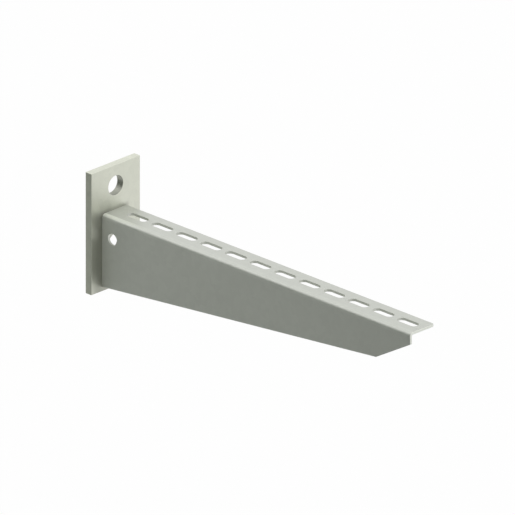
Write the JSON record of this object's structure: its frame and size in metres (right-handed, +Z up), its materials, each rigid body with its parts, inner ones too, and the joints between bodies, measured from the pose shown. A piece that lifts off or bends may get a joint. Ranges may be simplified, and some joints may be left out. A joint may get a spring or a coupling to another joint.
{
  "type": "cantilever strut arm",
  "caption": "Tapered folded-sheet cantilever arm welded to a drilled wall plate, with a slotted top flange that carries cable tray, a side hole and a slanted nose.",
  "frame": {"origin": "on the wall plane, which is the back face of the wall plate, midway between the two fixing holes", "axes": "+X out from the wall along the arm, +Y across the plate towards the flange's free edge, +Z up"},
  "size_m": [0.3195, 0.05, 0.095],
  "materials": {
    "galvanised_plate": "hot-dip galvanised, satin, pale warm grey",
    "galvanised_sheet": "hot-dip galvanised, satin, pale warm grey",
    "galvanised_weld": "galvanised over the weld, slightly darker and rougher"
  },
  "bodies": {
    "root": {"wall_plate": "galvanised_plate", "arm": "galvanised_sheet", "web_weld_seam": "galvanised_weld", "flange_weld_seam": "galvanised_weld"}
  },
  "joints": []
}
